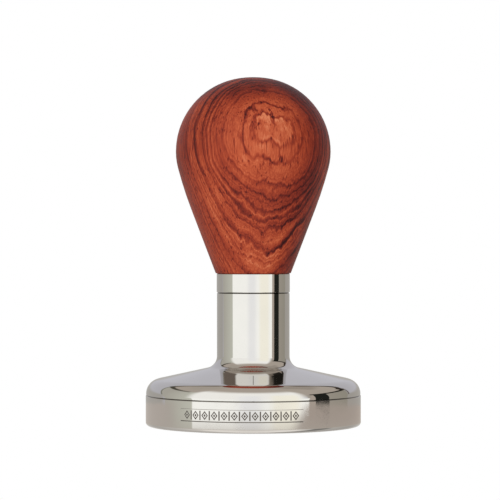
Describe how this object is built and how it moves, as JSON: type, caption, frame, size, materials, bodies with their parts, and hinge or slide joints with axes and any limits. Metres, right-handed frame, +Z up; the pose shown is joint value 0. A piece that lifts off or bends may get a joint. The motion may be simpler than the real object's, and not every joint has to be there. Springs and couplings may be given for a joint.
{
  "type": "espresso tamper",
  "caption": "Espresso tamper: pear-shaped turned hardwood knob and steel ferrule screwed onto a flat-faced polished steel base with a shallow cone and straight rim.",
  "frame": {"origin": "centre of the flat tamping face, the lowest point of the base", "axes": "+Z up along the turning axis, from the tamping face to the crown of the knob; the tamper is round about Z, so X and Y are free"},
  "size_m": [0.058, 0.058, 0.0939],
  "materials": {
    "polished_steel": "mirror-polished stainless steel",
    "plain_steel": "plain machined steel",
    "insert_brass": "machined brass",
    "knob_wood": "oiled and polished red-brown hardwood with strong figure"
  },
  "bodies": {
    "base": {"tamper_base": "polished_steel", "connecting_stud": "plain_steel"},
    "collar": {"ferrule_ring": "polished_steel"},
    "handle": {"handle_knob": "knob_wood", "threaded_insert": "insert_brass"}
  },
  "joints": [
    {"name": "collar_lift", "type": "slide", "parent": "base", "child": "collar", "axis": [0, 0, 1], "range_m": [0, 0.01125]},
    {"name": "handle_turn", "type": "hinge", "parent": "collar", "child": "handle", "pos_m": [0, 0, 0.041], "axis": [0, 0, 1], "range_deg": [0, 3240]}
  ],
  "couplings": [
    {"joint": "collar_lift", "follows": "handle_turn", "m_per_rad": 0.00019894}
  ]
}
